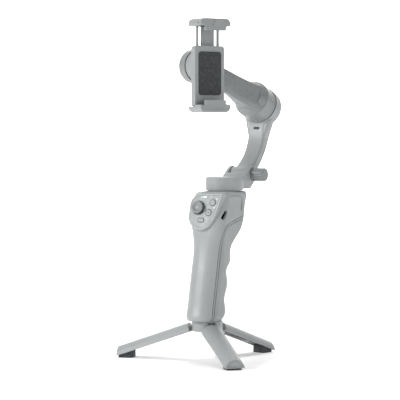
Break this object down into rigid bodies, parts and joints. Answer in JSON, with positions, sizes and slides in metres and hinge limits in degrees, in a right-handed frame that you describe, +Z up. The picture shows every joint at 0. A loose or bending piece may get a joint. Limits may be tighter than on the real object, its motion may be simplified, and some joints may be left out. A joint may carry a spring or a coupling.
{
  "type": "gimbal stabilizer",
  "caption": "Handheld phone stabilizer with motorised folding arm, spring phone clamp, grip with joystick and buttons, and a fold-out mini tripod base.",
  "frame": {"origin": "on the floor, under the middle of the whole object's box; the tripod's axis stands 8.7 mm to +X and 29.8 mm to -Y of it", "axes": "+Z up, control panel faces -Y, charging socket and fold lock knob on the +X side"},
  "size_m": [0.1661, 0.2019, 0.3444],
  "materials": {
    "shell_plastic": "light greenish-grey satin moulded plastic",
    "grip_plastic": "light grey, fine moulded texture",
    "panel_plastic": "light grey satin",
    "control_plastic": "mid grey satin",
    "trim_plastic": "mid grey satin",
    "knob_plastic": "mid grey satin",
    "clamp_plastic": "light grey satin",
    "dark_plastic": "dark grey",
    "soft_rubber": "dark grey, matt",
    "steel": "turned",
    "brass_insert": "turned",
    "socket_metal": "bright",
    "copper_winding": "enamelled copper over steel laminations",
    "magnet_ring": "nickel plated",
    "circuit_board": "green solder mask",
    "battery_sleeve": "heat-shrink sleeve",
    "light_lens": "frosted, lit pale blue"
  },
  "bodies": {
    "handle": {"tripod_hub": "shell_plastic", "leg_pins": "steel", "tripod_stud": "steel", "handle_shell": "shell_plastic", "rear_grip_cover": "grip_plastic", "trim_strip": "trim_plastic", "threaded_insert": "brass_insert", "control_panel": "panel_plastic", "status_light_lens": "light_lens", "usb_socket": "socket_metal", "joystick_base": "dark_plastic", "button_board": "circuit_board", "battery_cell": "battery_sleeve", "main_board": "circuit_board", "pan_stator": "copper_winding", "pan_bearings": "steel"},
    "joystick_ring": {"joystick_yoke": "dark_plastic"},
    "joystick": {"joystick_cap": "control_plastic"},
    "record_button": {"button_record": "panel_plastic"},
    "mode_button": {"button_mode": "panel_plastic"},
    "power_button": {"button_power": "panel_plastic"},
    "pan_rotor": {"pan_housing": "shell_plastic", "pan_magnets": "magnet_ring", "pan_shaft": "steel", "hinge_bolt": "steel"},
    "fold_lock": {"lock_knob": "knob_plastic"},
    "arm": {"arm_shell": "shell_plastic", "arm_back_cover": "shell_plastic", "tilt_motor_cap": "shell_plastic", "tilt_stator": "copper_winding", "tilt_bearings": "steel"},
    "tilt_rotor": {"elbow_arm": "shell_plastic", "tilt_magnets": "magnet_ring", "tilt_shaft": "steel", "roll_motor_cap": "shell_plastic", "roll_stator": "copper_winding", "roll_bearings": "steel"},
    "clamp": {"clamp_frame": "clamp_plastic", "roll_magnets": "magnet_ring", "roll_shaft": "steel", "lower_jaw": "clamp_plastic", "lower_pad": "soft_rubber", "back_pad": "soft_rubber", "clamp_springs": "steel"},
    "sliding_jaw": {"upper_jaw": "clamp_plastic", "upper_pad": "soft_rubber"},
    "leg_1": {"leg_1_shell": "shell_plastic", "leg_1_cover": "dark_plastic", "leg_1_foot_pad": "soft_rubber"},
    "leg_2": {"leg_2_shell": "shell_plastic", "leg_2_cover": "dark_plastic", "leg_2_foot_pad": "soft_rubber"},
    "leg_3": {"leg_3_shell": "shell_plastic", "leg_3_cover": "dark_plastic", "leg_3_foot_pad": "soft_rubber"}
  },
  "joints": [
    {"name": "leg_1_fold", "type": "hinge", "parent": "handle", "child": "leg_1", "pos_m": [0.01113, -0.01959, 0.034], "axis": [-0.9728, 0.2317, 0], "range_deg": [0, 65]},
    {"name": "leg_2_fold", "type": "hinge", "parent": "handle", "child": "leg_2", "pos_m": [-0.00136, -0.0328, 0.034], "axis": [0.2857, -0.9583, 0], "range_deg": [0, 65]},
    {"name": "leg_3_fold", "type": "hinge", "parent": "handle", "child": "leg_3", "pos_m": [0.01633, -0.03701, 0.034], "axis": [0.6871, 0.7266, 0], "range_deg": [0, 65]},
    {"name": "joystick_up_down", "type": "hinge", "parent": "handle", "child": "joystick_ring", "pos_m": [0.0012, -0.02822, 0.15158], "axis": [1, 0, 0], "range_deg": [-10, 10], "stiffness_Nm_per_rad": 0.02},
    {"name": "joystick_left_right", "type": "hinge", "parent": "joystick_ring", "child": "joystick", "pos_m": [0.0012, -0.02822, 0.15158], "axis": [0, 0.2689, 0.9632], "range_deg": [-10, 10], "stiffness_Nm_per_rad": 0.02},
    {"name": "record_press", "type": "slide", "parent": "handle", "child": "record_button", "axis": [0, 0.9632, -0.2689], "range_m": [0, 0.0006], "stiffness_N_per_m": 800, "springref_m": -0.0005},
    {"name": "mode_press", "type": "slide", "parent": "handle", "child": "mode_button", "axis": [0, 0.9632, -0.2689], "range_m": [0, 0.0006], "stiffness_N_per_m": 800, "springref_m": -0.0005},
    {"name": "power_press", "type": "slide", "parent": "handle", "child": "power_button", "axis": [0, 0.9632, -0.2689], "range_m": [0, 0.0006], "stiffness_N_per_m": 800, "springref_m": -0.0005},
    {"name": "pan", "type": "hinge", "parent": "handle", "child": "pan_rotor", "pos_m": [0.0087, 0.0057, 0.17], "axis": [0, 0, 1], "range_deg": [-222.5, 97.5]},
    {"name": "fold", "type": "hinge", "parent": "pan_rotor", "child": "arm", "pos_m": [0.0087, 0.0427, 0.1855], "axis": [-1, 0, 0], "range_deg": [0, 120]},
    {"name": "fold_lock_turn", "type": "hinge", "parent": "pan_rotor", "child": "fold_lock", "pos_m": [0.0287, 0.0427, 0.1855], "axis": [1, 0, 0], "range_deg": [0, 270]},
    {"name": "tilt", "type": "hinge", "parent": "arm", "child": "tilt_rotor", "pos_m": [0.0087, 0.0812, 0.2577], "axis": [0, -0.9319, 0.3626], "range_deg": [-150, 150]},
    {"name": "roll", "type": "hinge", "parent": "tilt_rotor", "child": "clamp", "pos_m": [0.0087, -0.0198, 0.297], "axis": [0.887, -0.4617, 0], "range_deg": [-150, 150]},
    {"name": "jaw_slide", "type": "slide", "parent": "clamp", "child": "sliding_jaw", "axis": [0, 0, 1], "range_m": [-0.018, 0.008]}
  ]
}
